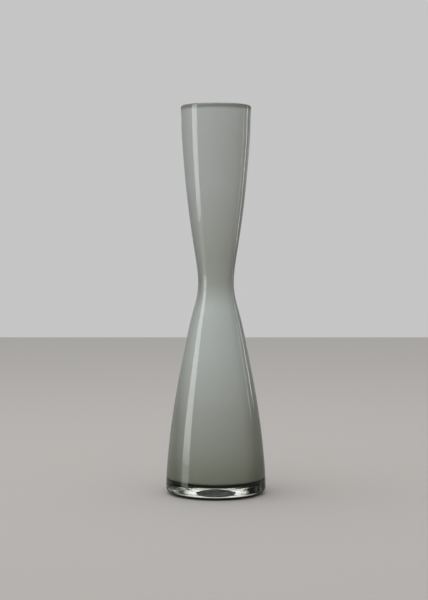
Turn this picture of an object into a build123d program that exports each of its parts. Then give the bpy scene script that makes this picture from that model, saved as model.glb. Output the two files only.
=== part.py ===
from build123d import *
import os

# A blown glass bud vase with a narrow waist, in two layers of glass that are fused face to face. The outer
# layer is a clear smoky glass, which is also the lip and the thick solid foot. The inner one is an opaque
# opal glass. Sizes are in millimetres. +Z is up, and the origin is the middle of the ring it stands on.

# Outer shape
height = 280.0  # from the table to the crest of the lip
waist_height = 152.5
waist_radius = 12.9
foot_radius = 36.2  # the widest place, just above the table
foot_round = 4.6  # from the side down to the standing ring
throat_radius = 25.2  # outside of the wall just under the lip
lip_radius = 25.4  # outside of the lip's fire-polished bead
lip_round = 1.75  # radius of the bead
lip_drop = 3.1  # from the middle of the bead down to the throat

# The skirt, from the foot's rounding up to the waist: shares of its height, and of what its radius still
# has over the waist's
skirt_shares = (
    (0.105, 0.97),
    (0.264, 0.87),
    (0.443, 0.706),
    (0.622, 0.4935),
    (0.751, 0.327),
    (0.856, 0.1675),
    (0.935, 0.04),
)
# The bowl, from the waist up to the throat: shares of its height, and of the radius it gains
bowl_shares = (
    (0.085, 0.061),
    (0.205, 0.239),
    (0.39, 0.51),
    (0.58, 0.728),
    (0.77, 0.89),
    (0.91, 0.97),
)

# The two glasses, measured level through the wall
casing_wall = 2.0  # smoky glass over the bowl
casing_foot_wall = 8.5  # smoky glass at the bottom of the skirt, where it settles thicker
lining_wall = 1.2  # opal glass
lining_floor = 2.0  # opal glass under the hollow
lining_belly = 200.0  # radius of the sphere that the lining's bottom is part of
lining_corner = 4.5  # rounding from the lining's bottom up into its side, outside and inside
lining_reach = 50.0  # degrees round the inside of the lip's bead, over which the lining thins out
foot_thickness = 6.0  # from the table to the lowest point of the lining

# Underside
standing_ring_width = 3.0
ring_slope_width = 2.0  # from the standing ring in and up to the underside
underside_rise = 1.4
pontil_radius = 9.6  # the ground and polished hollow where the rod was broken off
pontil_depth = 2.5


def at(radius, up):
    """A point of an outline, beside the vase's axis."""
    return Vector(radius, 0, up)


def side_points(foot_depth, bowl_depth):
    """The points of the skirt, waist and bowl, set in by a depth that eases from the foot's to the bowl's."""
    points = []
    skirt_height = waist_height - foot_round
    for up_share, out_share in skirt_shares:
        depth = bowl_depth + (foot_depth - bowl_depth) * (1 - up_share) ** 2
        radius = waist_radius + (foot_radius - waist_radius) * out_share - depth
        points.append(at(radius, foot_round + skirt_height * up_share))
    points.append(at(waist_radius - bowl_depth, waist_height))
    bowl_height = height - lip_round - lip_drop - waist_height
    for up_share, out_share in bowl_shares:
        radius = waist_radius + (throat_radius - waist_radius) * out_share - bowl_depth
        points.append(at(radius, waist_height + bowl_height * up_share))
    return points


def side(low_end, depths, *high_end):
    """One smooth curve up the whole side from its low end, upright at both ends."""
    points = [point for point in side_points(*depths) if point.Z > low_end.Z]
    upright = at(0, 1)
    return Spline([low_end, *points, *high_end], tangents=[upright, upright])


def rounding(centre, radius, start_angle, sweep):
    """An arc about a centre in the outline's plane, with angles counted from outwards to up."""
    plane = Plane(origin=centre, x_dir=at(1, 0), z_dir=Vector(0, -1, 0))
    return plane * CenterArc((0, 0), radius, start_angle, sweep)


def turned(outline):
    """The solid that a closed outline sweeps when it is turned once round the axis."""
    return revolve(make_face(outline), axis=Axis.Z)


def lip_centre():
    """The middle of the lip's bead."""
    return at(lip_radius - lip_round, height - lip_round)


def lip_inside(turned_up, depth=0):
    """A point of the bead's inside: level with its middle at 0 degrees, and on its crest at 90."""
    return lip_centre() + at(depth - lip_round, 0).rotate(Axis.Y, turned_up)


def cup(bottom, side_radius):
    """A cup's rounded bottom, from its lowest point on the axis to the foot of its upright side."""
    belly_centre = at(0, bottom + lining_belly)
    reach = side_radius - lining_corner
    drop = ((lining_belly - lining_corner) ** 2 - reach**2) ** 0.5
    corner_centre = at(reach, belly_centre.Z - drop)
    meeting = belly_centre + (corner_centre - belly_centre).normalized() * lining_belly
    belly = TangentArc(at(0, bottom), meeting, tangent=at(1, 0))
    corner = TangentArc(meeting, at(side_radius, corner_centre.Z), tangent=belly % 1)
    return [belly, corner]


def fused_face():
    """The face that the two glasses share, from the lining's bottom on the axis to its edge in the lip."""
    bottom = cup(foot_thickness, foot_radius - casing_foot_wall)
    high_end = lip_inside(0, lining_wall)
    return [
        *bottom,
        side(bottom[-1] @ 1, (casing_foot_wall, casing_wall), high_end),
        TangentArc(high_end, lip_inside(lining_reach), tangent=at(0, 1)),
    ]


def underside():
    """From the rounding of the foot, over the standing ring, to the top of the pontil's hollow."""
    ring_outer = foot_radius - foot_round
    ring_inner = ring_outer - standing_ring_width
    slope_top = at(ring_inner - ring_slope_width, underside_rise)
    pontil_edge = at(pontil_radius, underside_rise)
    pontil_top = at(0, underside_rise + pontil_depth)
    far_edge = at(-pontil_radius, underside_rise)
    return [
        Line(at(ring_outer, 0), at(ring_inner, 0)),
        Line(at(ring_inner, 0), slope_top),
        Line(slope_top, pontil_edge),
        ThreePointArc(pontil_edge, pontil_top, far_edge).trim(0, 0.5),
        Line(pontil_top, at(0, foot_thickness)),
    ]


def smoke_casing():
    """The clear smoky glass: foot, outer wall and lip."""
    foot_centre = at(foot_radius - foot_round, foot_round)
    bead = lip_centre()
    throat = at(throat_radius, bead.Z - lip_drop)
    low_end = at(foot_radius, foot_round)
    return turned(
        [
            *underside(),
            *fused_face(),
            rounding(bead, lip_round, 0, 180 - lining_reach),
            side(low_end, (0, 0), throat, at(lip_radius, bead.Z)),
            rounding(foot_centre, foot_round, -90, 90),
        ]
    )


def opal_lining():
    """The opaque opal glass inside the casing, open at the top."""
    depths = (casing_foot_wall + lining_wall, casing_wall + lining_wall)
    hollow = cup(foot_thickness + lining_floor, foot_radius - depths[0])
    return turned(
        [
            *fused_face(),
            rounding(lip_centre(), lip_round, 180 - lining_reach, lining_reach),
            side(hollow[-1] @ 1, depths, lip_inside(0)),
            *hollow,
            Line(hollow[0] @ 0, at(0, foot_thickness)),
        ]
    )


os.makedirs("parts", exist_ok=True)
for piece in (smoke_casing, opal_lining):
    export_step(piece(), "parts/" + piece.__name__ + ".step")
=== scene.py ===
import math

import bmesh
import bpy
import numpy as np
from bpy.props import FloatProperty, FloatVectorProperty, IntProperty, PointerProperty
from mathutils import Matrix, Vector


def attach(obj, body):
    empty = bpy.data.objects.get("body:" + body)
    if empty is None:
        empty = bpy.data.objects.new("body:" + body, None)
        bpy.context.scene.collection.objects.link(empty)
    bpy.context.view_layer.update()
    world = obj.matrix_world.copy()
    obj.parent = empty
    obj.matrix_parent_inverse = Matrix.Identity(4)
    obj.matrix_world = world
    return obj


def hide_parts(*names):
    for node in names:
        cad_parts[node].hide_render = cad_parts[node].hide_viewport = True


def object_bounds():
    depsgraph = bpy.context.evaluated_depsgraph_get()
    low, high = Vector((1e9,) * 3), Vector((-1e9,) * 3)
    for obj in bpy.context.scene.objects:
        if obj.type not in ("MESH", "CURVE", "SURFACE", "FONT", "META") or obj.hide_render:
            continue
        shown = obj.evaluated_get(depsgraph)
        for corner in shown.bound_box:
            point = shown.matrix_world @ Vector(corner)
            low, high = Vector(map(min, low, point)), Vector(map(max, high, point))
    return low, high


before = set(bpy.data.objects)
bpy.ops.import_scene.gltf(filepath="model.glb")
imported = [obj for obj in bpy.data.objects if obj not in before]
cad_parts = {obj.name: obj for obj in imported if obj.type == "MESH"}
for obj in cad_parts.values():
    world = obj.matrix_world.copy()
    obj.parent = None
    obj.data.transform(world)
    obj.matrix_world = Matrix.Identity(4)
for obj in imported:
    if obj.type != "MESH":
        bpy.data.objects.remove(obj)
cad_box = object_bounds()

bl_info = {
    "name": "Cased Glass Bud Vase",
    "version": (1, 0, 0),
    "blender": (4, 5, 0),
    "location": "3D View > Sidebar > Vase",
    "description": "Makes a waisted bud vase of smoky glass over an opal lining, with its stage",
    "category": "Add Mesh",
}

MM = 0.001
FULL_TURN = 2 * math.pi
TABLE_LEVEL = cad_box[0][2]
VASE_HEIGHT = cad_box[1][2] - TABLE_LEVEL
FOOT_RADIUS = cad_box[1][0]

# The skirt, from the foot's rounding up to the waist: shares of its height, and of what its radius still
# has over the waist's
SKIRT_SHARES = (
    (0.105, 0.97),
    (0.264, 0.87),
    (0.443, 0.706),
    (0.622, 0.4935),
    (0.751, 0.327),
    (0.856, 0.1675),
    (0.935, 0.04),
)
# The bowl, from the waist up to the throat: shares of its height, and of the radius it gains
BOWL_SHARES = (
    (0.085, 0.061),
    (0.205, 0.239),
    (0.39, 0.51),
    (0.58, 0.728),
    (0.77, 0.89),
    (0.91, 0.97),
)
# Shares of the vase's height, and which strength of painted edge shade the smoky glass has there
EDGE_SHADE_LEVELS = (
    (0.06, "edge_foot"),
    (0.3, "edge_skirt"),
    (0.42, "edge_skirt"),
    (0.5, "edge_waist"),
    (0.56, "edge_waist"),
    (0.62, "edge_skirt"),
    (0.8, "edge_bowl"),
)
# Shares of the vase's height, and the opal glass's colour there, partly painted shade and light:
# painted darker at the waist, which faces down, and lighter on the skirt, which faces up; it also darkens
# towards the foot
OPAL_LEVELS_WITH_SHADE = (
    (0.25, "opal_low"),
    (0.36, "opal_skirt"),
    (0.48, "opal_skirt"),
    (0.545, "opal_waist"),
    (0.61, "opal_waist"),
    (0.8, "opal_bowl"),
)
MERGE_DISTANCE = 1e-7  # points of an outline that stand closer than this are one
JUST_OVER = 0.1 * MM  # from the top of the underside to where its finish ends


def length(name, description, default):
    """A size that a user can change, in metres."""
    return FloatProperty(
        name=name, description=description, default=default, min=0.0, unit="LENGTH", precision=4
    )


def colour(name, description, default):
    """A colour that a user can change, as linear red, green and blue."""
    return FloatVectorProperty(
        name=name, description=description, default=default, size=3, subtype="COLOR", min=0.0, max=1.0
    )


def angle(name, description, default):
    """An angle that a user can change, given in degrees."""
    return FloatProperty(
        name=name, description=description, default=math.radians(default), subtype="ANGLE"
    )


def number(name, description, default):
    """A plain number that a user can change."""
    return FloatProperty(name=name, description=description, default=default, min=0.0)


def portion(name, description, default):
    """A share from 0 to 1 that a user can change."""
    return FloatProperty(
        name=name, description=description, default=default, min=0.0, max=1.0, subtype="FACTOR"
    )


def face_count(name, description, default, least):
    """A count of faces that a user can change."""
    return IntProperty(name=name, description=description, default=default, min=least)


class VaseShape(bpy.types.PropertyGroup):
    """The sizes of the glass."""

    height: length("Height", "From the table to the crest of the lip", VASE_HEIGHT)
    waist_height: length("Waist height", "Height of the narrowest place", 152.5 * MM)
    waist_radius: length("Waist radius", "Outside radius of the waist", 12.9 * MM)
    foot_radius: length("Foot radius", "Outside radius just above the table", FOOT_RADIUS)
    foot_round: length("Foot rounding", "From the side down to the standing ring", 4.6 * MM)
    throat_radius: length("Throat radius", "Outside of the wall just under the lip", 25.2 * MM)
    lip_radius: length("Lip radius", "Outside of the lip's bead", 25.4 * MM)
    lip_round: length("Lip rounding", "Radius of the bead", 1.75 * MM)
    lip_drop: length("Lip drop", "From the middle of the bead to the throat", 3.1 * MM)
    casing_wall: length("Casing wall", "Smoky glass over the bowl", 2.0 * MM)
    casing_foot_wall: length("Casing foot wall", "Smoky glass low on the skirt", 8.5 * MM)
    lining_wall: length("Lining wall", "Opal glass in the wall", 1.2 * MM)
    lining_floor: length("Lining floor", "Opal glass under the hollow", 2.0 * MM)
    lining_belly: length("Lining belly", "Radius of the sphere of the lining's bottom", 200.0 * MM)
    lining_corner: length("Lining corner", "Rounding between the lining's bottom and its side", 4.5 * MM)
    lining_reach: angle("Lining reach", "How far round the inside of the bead the lining goes", 50.0)
    foot_thickness: length("Foot thickness", "From the table to the lining's lowest point", 6.0 * MM)
    ring_width: length("Standing ring width", "Width of the flat ring it stands on", 3.0 * MM)
    ring_slope: length("Ring slope", "From the standing ring in to the underside", 2.0 * MM)
    underside_rise: length("Underside rise", "Height of the underside over the table", 1.4 * MM)
    pontil_radius: length("Pontil radius", "Radius of the polished hollow underneath", 9.6 * MM)
    pontil_depth: length("Pontil depth", "Depth of the polished hollow", 2.5 * MM)
    fuse_overlap: length("Fuse overlap", "How far the lining stands into the casing", 0.02 * MM)
    turn_steps: face_count("Turn steps", "Faces round the vase", 128, 16)
    side_steps: face_count("Side steps", "Faces up the side", 120, 16)
    round_steps: face_count("Round steps", "Faces over a rounding", 16, 3)
    pontil_steps: face_count("Pontil steps", "Faces from the middle of the polished hollow out", 23, 3)
    underside_steps: face_count("Underside steps", "Faces from the hollow to the ring's slope", 11, 1)


class VaseGlass(bpy.types.PropertyGroup):
    """The colours and finish of the two glasses, and the shade and light painted into them."""

    refraction: number("Refraction", "Index of refraction of both glasses", 1.5)
    smoke_tint: colour("Smoke tint", "What the smoky glass passes at its surfaces", (0.95, 0.96, 0.94))
    smoke_depth_colour: colour("Smoke depth colour", "Colour deep in the smoky glass", (0.45, 0.465, 0.435))
    smoke_density: number("Smoke density", "Absorption of the smoky glass per metre", 36.0)
    foot_shadow: colour("Foot shadow", "What the foot passes of the lamps' light", (0.15, 0.16, 0.14))
    shadow_height: length("Shadow height", "Up to where the foot passes so little", 5.6 * MM)
    clear_height: length("Clear height", "Over which the smoky glass passes its tint", 12.6 * MM)
    ground_roughness: portion("Ground roughness", "Roughness of the ground hollow underneath", 0.95)
    uneven_size: length("Uneven size", "Width of the waves in the underside", 4.0 * MM)
    uneven_depth: length("Uneven depth", "Depth of the waves at the underside's edge", 4.0 * MM)
    uneven_detail: number("Uneven detail", "How many finer waves lie on the waves", 2.0)
    # The edge tint is painted shade: it darkens the smoky glass where it is seen aslant, more or less by
    # height
    aslant_start: portion("Aslant start", "How far the glass turns away before its edge tint starts", 0.2)
    aslant_end: portion("Aslant end", "How far the glass turns away where its edge tint is full", 0.65)
    edge_shade_colour: colour("Edge tint", "What the glass passes where it is seen aslant", (0.52, 0.535, 0.505))
    edge_foot: number("Edge at the foot", "How much of the edge tint the foot has", 2.2)
    edge_skirt: number("Edge of the skirt", "How much of the edge tint the skirt has", 1.0)
    edge_waist: number("Edge at the waist", "How much of the edge tint the waist has", 1.7)
    edge_bowl: number("Edge of the bowl", "How much of the edge tint the thin bowl has", 0.5)
    # The opal tones by height hold painted shade and light: darker at the waist, lighter on the skirt
    opal_bowl: colour("Opal in the bowl", "The opal glass near the lip", (0.6, 0.605, 0.59))
    opal_waist: colour("Opal at the waist", "The opal glass at the narrowest place", (0.495, 0.495, 0.46))
    opal_skirt: colour("Opal in the skirt", "The opal glass under the waist", (0.625, 0.645, 0.63))
    opal_low: colour("Opal low on the skirt", "The opal glass halfway down the skirt", (0.575, 0.58, 0.55))
    opal_foot: colour("Opal near the foot", "The opal glass near the foot", (0.415, 0.42, 0.34))
    # Painted shade: the lining's bottom corner and low side are near black, from the middle height up to the
    # shade height
    opal_painted_shade: colour("Opal underneath", "The shaded bottom of the opal glass", (0.012, 0.014, 0.008))
    # The opal is darker along the brim, above the brim depth under the crest
    opal_brim: colour("Opal at the brim", "The opal glass where it thins out", (0.3, 0.3, 0.28))
    brim_depth: length("Brim depth", "From the crest to where the lining has thinned out", 2.3 * MM)
    brim_blend: length("Brim blend", "Over which the lining thins out", 1.4 * MM)
    # Painted light: the middle of the lining's bottom, over the hollow, is much lighter than the opal near
    # the foot
    opal_painted_light_middle: colour("Opal middle", "The lining's bottom over the polished hollow", (0.7, 0.72, 0.55))
    middle_height: length("Middle height", "Where the lining's bottom starts to turn dark", 7.0 * MM)
    shade_height: length("Shade height", "Where the lining's side starts to be light", 9.8 * MM)
    shade_blend: length("Shade blend", "Over which the lining's side turns dark", 1.0 * MM)
    polished_roughness: portion("Polished roughness", "Roughness of the opal glass in the hollow", 0.08)
    polished_shine: portion("Polished shine", "Specular level of the opal glass in the hollow", 0.5)
    fused_roughness: portion("Fused roughness", "Roughness of the opal glass where it is fused", 0.6)


class VaseStage(bpy.types.PropertyGroup):
    """The floor, the light and the camera."""

    floor_reach: length("Floor reach", "From the vase to the floor's straight far edge", 1.62)
    floor_colour: colour("Floor colour", "Pale floor", (0.46, 0.433, 0.41))
    glass_floor_colour: colour("Floor in the glass", "Floor that the glass shows", (0.32, 0.292, 0.268))
    glass_floor_shine: portion("Floor shine in the glass", "Specular level of that floor", 0.3)
    glass_floor_roughness: portion("Floor roughness in the glass", "Roughness of that floor", 0.15)
    backdrop_colour: colour("Backdrop colour", "What is seen past the floor", (0.56, 0.56, 0.56))
    back_half_angle: angle("Back half angle", "How far the bright back reaches to each side", 27.0)
    back_brightness: number("Back brightness", "What the glass shows high behind the vase", 3.9)
    mirrored_back: number("Mirrored back", "What surfaces mirror of the middle of the back", 0.6)
    mirrored_flanks: number("Mirrored flanks", "What surfaces mirror beside the middle of the back", 0.22)
    mirrored_left: number("Mirrored left", "What surfaces mirror of the left rear", 0.22)
    mirrored_low_angle: angle("Mirrored low angle", "How high the mirrored low backdrop reaches", 3.0)
    mirrored_front: number("Mirrored front", "What surfaces mirror of the front", 0.12)
    side_brightness: number("Side brightness", "What the glass shows of the sides", 0.03)
    front_brightness: number("Front brightness", "What the glass shows of the front", 0.35)
    window_brightness: number("Window brightness", "What the glass shows of the windows", 4.2)
    low_brightness: number("Low brightness", "What the glass shows low behind the vase", 2.8)
    low_angle: angle("Low angle", "How high the low backdrop reaches", 8.8)
    top_angle: angle("Top angle", "How high the bright back reaches", 60.0)
    top_brightness: number("Top brightness", "What the glass shows overhead", 0.15)
    bright_side: colour("Bright side", "Soft light from the front left and above", (0.93, 0.965, 1.0))
    dim_side: colour("Dim side", "Soft light from the back right and below", (0.245, 0.235, 0.21))
    dome_strength: number("Dome strength", "Soft light from all round", 1.16)
    camera_distance: length("Camera distance", "From the vase's axis to the camera", 1.0243)
    camera_height: length("Camera height", "Height of the camera over the table", 0.1844)
    camera_aside: length("Camera aside", "How far the camera stands to the left", 1.4 * MM)
    camera_pitch: angle("Camera pitch", "How far the camera looks down", 2.48)
    lens: FloatProperty(
        name="Lens", description="Focal length over a 36 mm high picture", default=85.0, unit="CAMERA"
    )


# Narrow upright lamps that the glass shows as lines: name, turn in degrees from the camera to the right,
# distance, width, low end, high end, brightness, the share of its length that fades at the low end, and
# what is left of its brightness there
STRIPS = (
    ("left_strip", -75, 1.0, 0.36, 0.0, 0.78, 4.0, 0.15, 0.65),
    ("right_strip", 104, 0.6, 0.03, 0.06, 0.6, 2.5, 0.1, 0.0),
    ("far_right_strip", 124, 0.6, 0.05, 0.06, 0.6, 2.9, 0.1, 0.0),
    ("edge_strip", 148, 0.6, 0.02, 0.2, 0.5, 1.6, 0.1, 0.0),
)
TOP_SOFTBOX = ((0.9, 0.7), (-0.1, 0.1, 1.1))  # its size, and its place
TOP_SOFTBOX_STRENGTH = 1.6
BRIGHT_WAY = (-0.66, -0.56, 0.5)  # towards the brightest part of the soft light

# Turns in degrees from the back, at which the surroundings change that the glass shows or mirrors
WINDOWS = ((40, 46), (58, 66))  # from start to end, to the right
FRONT_TURN = 126
SIDE_TURN = 99
LOW_BACK_TURN = 20
LOW_SIDE_TURN = 45
MIRRORED_SIDE_TURN = 60
MIRRORED_LEFT_TURN = 50
MIDDLE_TURN = 12
BACK_BLEND = 2  # to each side of the back's and the middle's edges
WINDOW_BLEND = 1  # to each side of a window's edges
LEVEL_BLEND = 0.012  # above and below the low surroundings' top, as a sine of the elevation

FLOOR_SIDES = 8  # so that its far edge is level from the camera and from every side and corner
SENSOR_HEIGHT = 36.0  # in millimetres, as is the lens
MIX_A, MIX_B, MIX_RESULT = 6, 7, 2  # the colour sockets of a Mix node


# Outlines, as points of radius and height

def arc_points(centre, radius, start, end, steps):
    """Points over an arc, with angles in degrees counted from outwards to up."""
    angles = np.radians(np.linspace(start, end, steps + 1))
    return [(centre[0] + radius * math.cos(a), centre[1] + radius * math.sin(a)) for a in angles]


def side_knots(shape, foot_depth, bowl_depth):
    """The knots of the skirt, waist and bowl, set in by a depth that eases from the foot's to the bowl's."""
    knots = []
    for up, out in SKIRT_SHARES:
        depth = bowl_depth + (foot_depth - bowl_depth) * (1 - up) ** 2
        radius = shape.waist_radius + (shape.foot_radius - shape.waist_radius) * out - depth
        knots.append((radius, shape.foot_round + (shape.waist_height - shape.foot_round) * up))
    knots.append((shape.waist_radius - bowl_depth, shape.waist_height))
    bowl_height = shape.height - shape.lip_round - shape.lip_drop - shape.waist_height
    for up, out in BOWL_SHARES:
        radius = shape.waist_radius + (shape.throat_radius - shape.waist_radius) * out - bowl_depth
        knots.append((radius, shape.waist_height + bowl_height * up))
    return knots


def smooth_points(knots, steps):
    """Points on the cubic through the knots that bends steadily and is upright at both ends."""
    knots = np.array(knots)
    spans = np.linalg.norm(np.diff(knots, axis=0), axis=1)
    places = np.concatenate([[0], np.cumsum(spans)])
    count = len(knots)
    system = np.zeros((count, count))
    wanted = np.zeros((count, 2))
    system[0, 0] = system[-1, -1] = 1
    wanted[0] = wanted[-1] = (0, 1)
    for i in range(1, count - 1):
        before, after = spans[i - 1], spans[i]
        system[i, i - 1 : i + 2] = after, 2 * (before + after), before
        rise_before = (knots[i] - knots[i - 1]) / before
        rise_after = (knots[i + 1] - knots[i]) / after
        wanted[i] = 3 * (after * rise_before + before * rise_after)
    slopes = np.linalg.solve(system, wanted)
    points = []
    for place in np.linspace(0, places[-1], steps + 1):
        i = min(int(np.searchsorted(places, place, side="right")) - 1, count - 2)
        span = spans[i]
        t = (place - places[i]) / span
        points.append(
            tuple(
                knots[i] * (2 * t**3 - 3 * t**2 + 1)
                + slopes[i] * span * (t**3 - 2 * t**2 + t)
                + knots[i + 1] * (3 * t**2 - 2 * t**3)
                + slopes[i + 1] * span * (t**3 - t**2)
            )
        )
    return points


def side_points(shape, low_end, depths, *high_end):
    """The whole side, from its low end up."""
    knots = [knot for knot in side_knots(shape, *depths) if knot[1] > low_end[1]]
    return smooth_points([low_end, *knots, *high_end], shape.side_steps)


def lip_centre(shape):
    """The middle of the lip's bead."""
    return shape.lip_radius - shape.lip_round, shape.height - shape.lip_round


def belly_points(shape, bottom, side_radius):
    """A cup's bottom, from its lowest point on the axis over its corner to the foot of its upright side."""
    belly, corner_round = shape.lining_belly, shape.lining_corner
    reach = side_radius - corner_round
    drop = math.sqrt((belly - corner_round) ** 2 - reach**2)
    corner = (reach, bottom + belly - drop)
    turn = -math.degrees(math.atan2(drop, reach))
    return [
        *arc_points((0, bottom + belly), belly, -90, turn, 2 * shape.round_steps)[:-1],
        *arc_points(corner, corner_round, turn, 0, shape.round_steps),
    ]


def fused_points(shape, overlap):
    """The face that the two glasses share, from the axis under the lining to its top edge inside."""
    cup = belly_points(
        shape, shape.foot_thickness - overlap, shape.foot_radius - shape.casing_foot_wall + overlap
    )
    bead = lip_centre(shape)
    reach = shape.lining_reach + overlap / shape.lip_round
    high_end = (bead[0] - shape.lip_round + shape.lining_wall + overlap, bead[1])
    inwards = high_end[0] - bead[0] + shape.lip_round * math.cos(reach)
    upwards = shape.lip_round * math.sin(reach)
    edge_round = (inwards**2 + upwards**2) / (2 * inwards)
    edge_centre = (high_end[0] - edge_round, bead[1])
    edge_turn = math.degrees(math.atan2(upwards, edge_round - inwards))
    depths = (shape.casing_foot_wall - overlap, shape.casing_wall - overlap)
    return [
        *cup[:-1],
        *side_points(shape, cup[-1], depths, high_end)[:-1],
        *arc_points(edge_centre, edge_round, 0, edge_turn, shape.round_steps // 2),
    ]


def underside_points(shape):
    """From the top of the pontil's hollow out to the standing ring."""
    rise = shape.underside_rise
    half = shape.pontil_radius
    sphere = (half**2 + shape.pontil_depth**2) / (2 * shape.pontil_depth)
    centre_height = rise + shape.pontil_depth - sphere
    reach = math.asin(half / sphere)
    hollow = [
        (sphere * math.sin(a), centre_height + sphere * math.cos(a))
        for a in np.linspace(0, reach, shape.pontil_steps + 1)
    ]
    ring_outer = shape.foot_radius - shape.foot_round
    ring_inner = ring_outer - shape.ring_width
    slope_top = ring_inner - shape.ring_slope
    flat = [(radius, rise) for radius in np.linspace(half, slope_top, shape.underside_steps + 1)[1:]]
    return [*hollow, *flat, (ring_inner, 0.0)]


def casing_outline(shape):
    """The smoky glass, from its axis under the foot out, up the side, over the lip and back to the axis."""
    foot_centre = (shape.foot_radius - shape.foot_round, shape.foot_round)
    bead = lip_centre(shape)
    bead_reach = 180 - math.degrees(shape.lining_reach)
    throat = (shape.throat_radius, bead[1] - shape.lip_drop)
    low_end = (shape.foot_radius, shape.foot_round)
    return [
        *underside_points(shape),
        *arc_points(foot_centre, shape.foot_round, -90, 0, shape.round_steps)[:-1],
        *side_points(shape, low_end, (0, 0), throat, (shape.lip_radius, bead[1]))[:-1],
        *arc_points(bead, shape.lip_round, 0, bead_reach, 2 * shape.round_steps)[:-1],
        *reversed(fused_points(shape, 0.0)),
    ]


def lining_outlines(shape):
    """The opal glass: its fused outside from the axis to the brim, and its hollow from the brim back."""
    depths = (shape.casing_foot_wall + shape.lining_wall, shape.casing_wall + shape.lining_wall)
    cup = belly_points(shape, shape.foot_thickness + shape.lining_floor, shape.foot_radius - depths[0])
    bead = lip_centre(shape)
    reach = math.degrees(shape.lining_reach + shape.fuse_overlap / shape.lip_round)
    hollow = [
        *cup[:-1],
        *side_points(shape, cup[-1], depths, (bead[0] - shape.lip_round, bead[1]))[:-1],
        *arc_points(bead, shape.lip_round, 180, 180 - reach, shape.round_steps),
    ]
    return fused_points(shape, shape.fuse_overlap), list(reversed(hollow))[1:]


# Meshes

def turned_piece(name, outline, steps):
    """A closed glass body: the outline is spun once round the vase's axis and its pole is merged."""
    bm = bmesh.new()
    points = [bm.verts.new((radius, 0, up + TABLE_LEVEL)) for radius, up in outline]
    edges = [bm.edges.new(pair) for pair in zip(points, points[1:])]
    bmesh.ops.spin(
        bm,
        geom=points + edges,
        cent=(0, 0, 0),
        axis=(0, 0, 1),
        dvec=(0, 0, 0),
        angle=FULL_TURN,
        steps=steps,
        use_merge=True,
    )
    bmesh.ops.remove_doubles(bm, verts=bm.verts, dist=MERGE_DISTANCE)
    bmesh.ops.recalc_face_normals(bm, faces=bm.faces)
    mesh = bpy.data.meshes.new(name)
    bm.to_mesh(mesh)
    bm.free()
    mesh.shade_smooth()
    piece = bpy.data.objects.new(name, mesh)
    bpy.context.scene.collection.objects.link(piece)
    return piece


# Materials

def new_material(name):
    """An empty node material, its tree and its output."""
    material = bpy.data.materials.new(name)
    material.use_nodes = True
    tree = material.node_tree
    tree.nodes.clear()
    return material, tree, tree.nodes.new("ShaderNodeOutputMaterial")


def add_node(tree, kind, **inputs):
    """A node with its inputs set by name. An output given as a value is linked."""
    node = tree.nodes.new(kind)
    for name, value in inputs.items():
        socket = node.inputs[name.replace("_", " ")]
        if isinstance(value, bpy.types.NodeSocket):
            tree.links.new(value, socket)
        else:
            socket.default_value = value
    return node


def add_math(tree, operation, *values):
    """A math node's result. Each value is a number or another node's output."""
    node = tree.nodes.new("ShaderNodeMath")
    node.operation = operation
    for socket, value in zip(node.inputs, values):
        if isinstance(value, bpy.types.NodeSocket):
            tree.links.new(value, socket)
        else:
            socket.default_value = value
    return node.outputs[0]


def add_length(tree, vector):
    """The length of a vector, as a node's output."""
    node = tree.nodes.new("ShaderNodeVectorMath")
    node.operation = "LENGTH"
    tree.links.new(vector, node.inputs[0])
    return node.outputs["Value"]


def add_ramp(tree, factor, levels):
    """A colour ramp. Its levels are pairs of a place from 0 to 1 and a colour."""
    ramp = add_node(tree, "ShaderNodeValToRGB", Fac=factor)
    stops = ramp.color_ramp.elements
    while len(stops) < len(levels):
        stops.new(1.0)
    for stop, (place, tone) in zip(stops, levels):
        stop.position = place
        stop.color = (*tone, 1)
    return ramp


def mix_by_ray(tree, shader, *choices):
    """A shader that gives way to others for certain rays. Each choice is a kind of ray and its shader."""
    path = tree.nodes.new("ShaderNodeLightPath")
    for ray, other in choices:
        mix = tree.nodes.new("ShaderNodeMixShader")
        tree.links.new(path.outputs[ray], mix.inputs[0])
        tree.links.new(shader, mix.inputs[1])
        tree.links.new(other, mix.inputs[2])
        shader = mix.outputs[0]
    return shader


def aslant_painted_shade(tree, glass, up):
    """Painted shade: the smoky glass's tint, darker where the glass is seen aslant, most at the foot and the
    waist, least on the bowl.
    """
    slant = tree.nodes.new("ShaderNodeLayerWeight")
    aslant = add_node(
        tree,
        "ShaderNodeMapRange",
        Value=slant.outputs["Facing"],
        From_Min=glass.aslant_start,
        From_Max=glass.aslant_end,
    )
    levels = [(place, getattr(glass, name)) for place, name in EDGE_SHADE_LEVELS]
    most = max(level for place, level in levels)
    edge_shade_by_height = add_ramp(tree, up, [(place, [level / most] * 3) for place, level in levels])
    strongest = add_math(tree, "MULTIPLY", aslant.outputs[0], most)
    amount = add_math(tree, "MULTIPLY", strongest, edge_shade_by_height.outputs["Color"])
    return add_ramp(tree, amount, [(0.0, glass.smoke_tint), (1.0, glass.edge_shade_colour)]).outputs["Color"]


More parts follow.
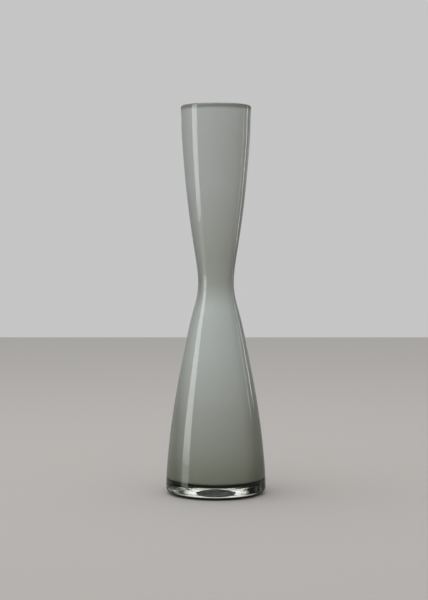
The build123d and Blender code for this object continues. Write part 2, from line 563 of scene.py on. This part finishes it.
def underside_finish(tree, glass, shape, place, split):
    """The roughness of the ground hollow, and the normal of the waves that grow from it outwards."""
    across = add_node(tree, "ShaderNodeCombineXYZ", X=split.outputs["X"], Y=split.outputs["Y"])
    away = add_length(tree, across.outputs[0])
    top = shape.underside_rise + shape.pontil_depth + JUST_OVER
    low = add_math(tree, "LESS_THAN", split.outputs["Z"], top)
    inside = add_math(tree, "LESS_THAN", away, shape.pontil_radius)
    hollow = add_math(tree, "MULTIPLY", inside, low)
    ground = add_math(tree, "MULTIPLY", hollow, glass.ground_roughness)
    underside_radius = shape.foot_radius - shape.foot_round
    within = add_math(tree, "LESS_THAN", away, underside_radius)
    under = add_math(tree, "MULTIPLY", within, low)
    outer = add_node(
        tree,
        "ShaderNodeMapRange",
        Value=away,
        From_Min=shape.pontil_radius,
        From_Max=underside_radius,
    )
    waves = add_node(
        tree,
        "ShaderNodeTexNoise",
        Vector=place,
        Scale=1 / glass.uneven_size,
        Detail=glass.uneven_detail,
    )
    uneven = add_node(
        tree,
        "ShaderNodeBump",
        Height=waves.outputs["Fac"],
        Distance=glass.uneven_depth,
        Strength=add_math(tree, "MULTIPLY", under, outer.outputs[0]),
    )
    return ground, uneven.outputs[0]


def smoke_glass_material(glass, shape):
    """Clear smoky glass. Rays from lamps and off matt surfaces pass it unbent, and light what it holds."""
    material, tree, out = new_material("smoke_glass")
    place = tree.nodes.new("ShaderNodeTexCoord").outputs["Object"]
    split = add_node(tree, "ShaderNodeSeparateXYZ", Vector=place)
    up = add_math(tree, "DIVIDE", split.outputs["Z"], shape.height)
    roughness, normal = underside_finish(tree, glass, shape, place, split)
    surface = add_node(
        tree,
        "ShaderNodeBsdfPrincipled",
        Base_Color=aslant_painted_shade(tree, glass, up),
        Roughness=roughness,
        IOR=glass.refraction,
        Transmission_Weight=1.0,
        Normal=normal,
    )
    passed = [
        (glass.shadow_height / shape.height, glass.foot_shadow),
        (glass.clear_height / shape.height, glass.smoke_tint),
    ]
    film = add_node(
        tree, "ShaderNodeBsdfTransparent", Color=add_ramp(tree, up, passed).outputs["Color"]
    ).outputs[0]
    shader = mix_by_ray(tree, surface.outputs[0], ("Is Diffuse Ray", film), ("Is Shadow Ray", film))
    tree.links.new(shader, out.inputs["Surface"])
    depth = add_node(
        tree,
        "ShaderNodeVolumeAbsorption",
        Color=(*glass.smoke_depth_colour, 1),
        Density=glass.smoke_density,
    )
    tree.links.new(depth.outputs[0], out.inputs["Volume"])
    return material


def opal_glass_material(name, glass, shape, polished):
    """Opaque opal glass with painted shade and light by height, and painted shade under its fused bottom.
    Its polished side faces the hollow.
    """
    material, tree, out = new_material(name)
    place = tree.nodes.new("ShaderNodeTexCoord").outputs["Object"]
    split = add_node(tree, "ShaderNodeSeparateXYZ", Vector=place)
    up = add_node(tree, "ShaderNodeMapRange", Value=split.outputs["Z"], From_Max=shape.height)
    brim_height = shape.height - glass.brim_depth
    levels = [
        (glass.shade_height + glass.shade_blend, glass.opal_foot),
        *[(share * shape.height, getattr(glass, tone)) for share, tone in OPAL_LEVELS_WITH_SHADE],
        (brim_height - glass.brim_blend, glass.opal_bowl),
        (brim_height, glass.opal_brim),
    ]
    # The fused side gets painted shade on its bottom corner and low side, round a middle painted lighter
    if not polished:
        levels = [
            (glass.middle_height, glass.opal_painted_light_middle),
            (glass.middle_height + glass.shade_blend, glass.opal_painted_shade),
            (glass.shade_height, glass.opal_painted_shade),
            *levels,
        ]
    ramp = add_ramp(tree, up.outputs[0], [(height / shape.height, tone) for height, tone in levels])
    surface = add_node(
        tree,
        "ShaderNodeBsdfPrincipled",
        Base_Color=ramp.outputs["Color"],
        Roughness=glass.polished_roughness if polished else glass.fused_roughness,
        IOR=glass.refraction,
        Specular_IOR_Level=glass.polished_shine if polished else 0.0,
    )
    tree.links.new(surface.outputs[0], out.inputs["Surface"])
    return material


def floor_material(stage):
    """A plain pale floor, matt as seen. What the glass shows of it is darker and has a sheen."""
    material, tree, out = new_material("pale_floor")
    in_glass = add_node(
        tree,
        "ShaderNodeBsdfPrincipled",
        Base_Color=(*stage.glass_floor_colour, 1),
        Roughness=stage.glass_floor_roughness,
        Specular_IOR_Level=stage.glass_floor_shine,
    )
    seen = add_node(tree, "ShaderNodeBsdfDiffuse", Color=(*stage.floor_colour, 1))
    shader = mix_by_ray(tree, in_glass.outputs[0], ("Is Camera Ray", seen.outputs[0]))
    tree.links.new(shader, out.inputs["Surface"])
    return material


# Operators

class VASE_OT_smoke_casing(bpy.types.Operator):
    """The clear smoky glass: foot, outer wall and lip"""

    bl_idname = "vase.smoke_casing"
    bl_label = "Smoke casing"

    def execute(self, context):
        shape = context.scene.vase_shape
        piece = turned_piece("smoke_glass_casing", casing_outline(shape), shape.turn_steps)
        piece.data.materials.append(smoke_glass_material(context.scene.vase_glass, shape))
        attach(piece, "root")
        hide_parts("smoke_casing")
        return {"FINISHED"}


class VASE_OT_opal_lining(bpy.types.Operator):
    """The opaque opal glass inside the casing"""

    bl_idname = "vase.opal_lining"
    bl_label = "Opal lining"

    def execute(self, context):
        shape, glass = context.scene.vase_shape, context.scene.vase_glass
        outside, hollow = lining_outlines(shape)
        piece = turned_piece("opal_glass_lining", outside + hollow, shape.turn_steps)
        piece.data.materials.append(opal_glass_material("opal_fused", glass, shape, False))
        piece.data.materials.append(opal_glass_material("opal_polished", glass, shape, True))
        for face in piece.data.polygons:
            if face.normal.xy.dot(face.center.xy) < 0:
                face.material_index = 1
        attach(piece, "root")
        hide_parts("opal_lining")
        return {"FINISHED"}


def fade_low_end(lamp, share, low_level):
    """Lets an upright lamp fade to a low level over the given share of its length, at its low end."""
    lamp.use_nodes = True
    tree = lamp.node_tree
    up = add_node(
        tree, "ShaderNodeSeparateXYZ", Vector=tree.nodes.new("ShaderNodeNewGeometry").outputs["Parametric"]
    )
    fade = add_node(
        tree, "ShaderNodeMapRange", Value=up.outputs["Y"], From_Max=share, To_Min=low_level
    )
    fade.interpolation_type = "SMOOTHSTEP"
    tree.links.new(fade.outputs[0], tree.nodes["Emission"].inputs["Strength"])


def add_lamp(name, size, place, target, strength, diffuse=True):
    """A flat rectangular lamp that faces its target. strength is its brightness, where 1 is white."""
    lamp = bpy.data.lights.new(name, "AREA")
    lamp.shape = "RECTANGLE"
    lamp.size, lamp.size_y = size
    lamp.energy = strength * math.pi * size[0] * size[1]
    item = bpy.data.objects.new(name, lamp)
    bpy.context.scene.collection.objects.link(item)
    item.location = place
    item.rotation_euler = (Vector(target) - Vector(place)).to_track_quat("-Z", "Y").to_euler()
    item.visible_diffuse = diffuse
    item.visible_camera = False
    return item


class VASE_OT_stage(bpy.types.Operator):
    """The floor, the backdrop, the lamps and the camera"""

    bl_idname = "vase.stage"
    bl_label = "Stage"

    def execute(self, context):
        stage = context.scene.vase_stage
        self.make_floor(stage)
        self.make_world(context.scene, stage)
        self.make_lamps(context.scene.vase_shape.height / 2)
        self.make_camera(context.scene, stage)
        context.scene.view_settings.view_transform = "Standard"
        return {"FINISHED"}

    def make_floor(self, stage):
        """The floor, with its straight edges square to the camera and its corners cut."""
        bm = bmesh.new()
        bmesh.ops.create_circle(
            bm,
            cap_ends=True,
            segments=FLOOR_SIDES,
            radius=stage.floor_reach / math.cos(math.pi / FLOOR_SIDES),
            matrix=Matrix.Rotation(math.pi / FLOOR_SIDES, 4, "Z"),
        )
        mesh = bpy.data.meshes.new("floor")
        bm.to_mesh(mesh)
        bm.free()
        floor = bpy.data.objects.new("floor", mesh)
        floor.data.materials.append(floor_material(stage))
        bpy.context.scene.collection.objects.link(floor)

    def make_world(self, scene, stage):
        """What lights the vase from all round, and what is seen, mirrored and shown by the glass."""
        world = bpy.data.worlds.new("studio")
        scene.world = world
        world.use_nodes = True
        tree = world.node_tree
        tree.nodes.clear()
        out = tree.nodes.new("ShaderNodeOutputWorld")
        lit = self.make_dome(tree, stage)
        seen = add_node(tree, "ShaderNodeBackground", Color=(*stage.backdrop_colour, 1), Strength=1.0)
        mirrored = self.make_surroundings(tree, stage, *self.mirrored_levels(stage))
        through_glass = self.make_surroundings(tree, stage, *self.levels_through_glass(stage))
        shader = mix_by_ray(
            tree,
            lit.outputs[0],
            ("Is Glossy Ray", mirrored.outputs[0]),
            ("Is Transmission Ray", through_glass.outputs[0]),
            ("Is Camera Ray", seen.outputs[0]),
        )
        tree.links.new(shader, out.inputs["Surface"])

    def make_dome(self, tree, stage):
        """Soft light from all round, brightest from the front left and above."""
        way = tree.nodes.new("ShaderNodeTexCoord").outputs["Generated"]
        toward = tree.nodes.new("ShaderNodeVectorMath")
        toward.operation = "DOT_PRODUCT"
        tree.links.new(way, toward.inputs[0])
        toward.inputs[1].default_value = BRIGHT_WAY
        share = add_node(tree, "ShaderNodeMapRange", Value=toward.outputs["Value"], From_Min=-1.0)
        ramp = add_ramp(tree, share.outputs[0], [(0.0, stage.dim_side), (1.0, stage.bright_side)])
        return add_node(
            tree, "ShaderNodeBackground", Color=ramp.outputs["Color"], Strength=stage.dome_strength
        )

    def above(self, tree, height, level):
        """1 over an angle of elevation and 0 under it, with a soft edge."""
        rise = add_node(
            tree,
            "ShaderNodeMapRange",
            Value=height,
            From_Min=math.sin(level) - LEVEL_BLEND,
            From_Max=math.sin(level) + LEVEL_BLEND,
        )
        rise.interpolation_type = "SMOOTHSTEP"
        return rise.outputs[0]

    def patch(self, start, end, blend, inner, outer):
        """Levels for a patch of one brightness between two turns, in surroundings of another."""
        return [
            (start - blend, outer),
            (start + blend, inner),
            (end - blend, inner),
            (end + blend, outer),
        ]

    def levels_through_glass(self, stage):
        """What the glass shows low and high: turns in degrees from the back to the right, and brightness."""
        half = math.degrees(stage.back_half_angle)
        side, front = stage.side_brightness, stage.front_brightness
        high = [(-FRONT_TURN, front), (-SIDE_TURN, side)]
        high += self.patch(-half, half, BACK_BLEND, stage.back_brightness, side)
        for start, end in WINDOWS:
            high += self.patch(start, end, WINDOW_BLEND, stage.window_brightness, side)
        high += [(SIDE_TURN, side), (FRONT_TURN, front)]
        low = [
            (-FRONT_TURN, front),
            (-LOW_SIDE_TURN, side),
            (-LOW_BACK_TURN, stage.low_brightness),
            (LOW_BACK_TURN, stage.low_brightness),
            (LOW_SIDE_TURN, side),
            (FRONT_TURN, front),
        ]
        return stage.low_angle, low, high

    def mirrored_levels(self, stage):
        """What surfaces mirror, given as for the glass."""
        half = math.degrees(stage.back_half_angle)
        side, front = stage.side_brightness, stage.mirrored_front
        back, flanks, left = stage.mirrored_back, stage.mirrored_flanks, stage.mirrored_left
        middle = self.patch(-MIDDLE_TURN, MIDDLE_TURN, BACK_BLEND, back, flanks)
        low = [
            (-FRONT_TURN, front),
            (-MIRRORED_SIDE_TURN, side),
            (-half, flanks),
            *middle,
            (half, flanks),
            (MIRRORED_SIDE_TURN, side),
            (FRONT_TURN, front),
        ]
        high = [
            (-FRONT_TURN, front),
            (-SIDE_TURN, side),
            (-MIRRORED_SIDE_TURN, side),
            (-MIRRORED_LEFT_TURN, left),
            (-half, left),
            *middle,
            (half - BACK_BLEND, flanks),
            (half + BACK_BLEND, side),
            (SIDE_TURN, side),
            (FRONT_TURN, front),
        ]
        return stage.mirrored_low_angle, low, high

    def make_surroundings(self, tree, stage, low_angle, low, high):
        """Brightness all round, from its levels low down and high up, with a dim ceiling."""
        coordinates = tree.nodes.new("ShaderNodeTexCoord")
        split = add_node(tree, "ShaderNodeSeparateXYZ", Vector=coordinates.outputs["Generated"])
        turn = add_math(tree, "ARCTAN2", split.outputs["X"], split.outputs["Y"])
        place = add_math(tree, "MULTIPLY_ADD", turn, 1 / FULL_TURN, 0.5)
        most = max(level for degrees, level in (*low, *high))
        rings = [
            add_ramp(tree, place, [(0.5 + degrees / 360, [level / most] * 3) for degrees, level in levels])
            for levels in (low, high)
        ]
        shown = rings[0].outputs["Color"]
        for level, over in (
            (low_angle, rings[1].outputs["Color"]),
            (stage.top_angle, (*[stage.top_brightness / most] * 3, 1)),
        ):
            mix = tree.nodes.new("ShaderNodeMix")
            mix.data_type = "RGBA"
            tree.links.new(self.above(tree, split.outputs["Z"], level), mix.inputs["Factor"])
            tree.links.new(shown, mix.inputs[MIX_A])
            if isinstance(over, bpy.types.NodeSocket):
                tree.links.new(over, mix.inputs[MIX_B])
            else:
                mix.inputs[MIX_B].default_value = over
            shown = mix.outputs[MIX_RESULT]
        return add_node(tree, "ShaderNodeBackground", Color=shown, Strength=most)

    def make_lamps(self, middle):
        """The softbox overhead, which faces the vase's middle, and the strips round it."""
        size, place = TOP_SOFTBOX
        add_lamp("top_softbox", size, place, (0, 0, middle), TOP_SOFTBOX_STRENGTH)
        for name, turn, distance, width, low, high, strength, fade, low_level in STRIPS:
            place = Matrix.Rotation(math.radians(turn), 3, "Z") @ Vector((0, -distance, (low + high) / 2))
            strip = add_lamp(name, (width, high - low), place, (0, 0, place.z), strength, diffuse=False)
            fade_low_end(strip.data, fade, low_level)

    def make_camera(self, scene, stage):
        """A level camera that looks slightly down at the vase."""
        lens = bpy.data.cameras.new("camera")
        lens.sensor_fit = "VERTICAL"
        lens.sensor_height = SENSOR_HEIGHT
        lens.lens = stage.lens
        camera = bpy.data.objects.new("camera", lens)
        scene.collection.objects.link(camera)
        camera.location = (-stage.camera_aside, -stage.camera_distance, stage.camera_height)
        camera.rotation_euler = (math.pi / 2 - stage.camera_pitch, 0, 0)
        scene.camera = camera


class VASE_PT_panel(bpy.types.Panel):
    """Makes the vase and its stage"""

    bl_label = "Bud Vase"
    bl_space_type = "VIEW_3D"
    bl_region_type = "UI"
    bl_category = "Vase"

    def draw(self, context):
        for operator in OPERATORS:
            self.layout.operator(operator.bl_idname)
        for group in (context.scene.vase_shape, context.scene.vase_glass, context.scene.vase_stage):
            box = self.layout.box()
            for name in group.__annotations__:
                box.prop(group, name)


OPERATORS = (VASE_OT_smoke_casing, VASE_OT_opal_lining, VASE_OT_stage)
GROUPS = {"vase_shape": VaseShape, "vase_glass": VaseGlass, "vase_stage": VaseStage}


def register():
    for name, group in GROUPS.items():
        bpy.utils.register_class(group)
        setattr(bpy.types.Scene, name, PointerProperty(type=group))
    for item in (*OPERATORS, VASE_PT_panel):
        bpy.utils.register_class(item)


def unregister():
    for item in (VASE_PT_panel, *reversed(OPERATORS)):
        bpy.utils.unregister_class(item)
    for name, group in reversed(GROUPS.items()):
        delattr(bpy.types.Scene, name)
        bpy.utils.unregister_class(group)


def main():
    register()
    bpy.ops.vase.smoke_casing()
    bpy.ops.vase.opal_lining()
    bpy.ops.vase.stage()


if __name__ == "__main__":
    main()
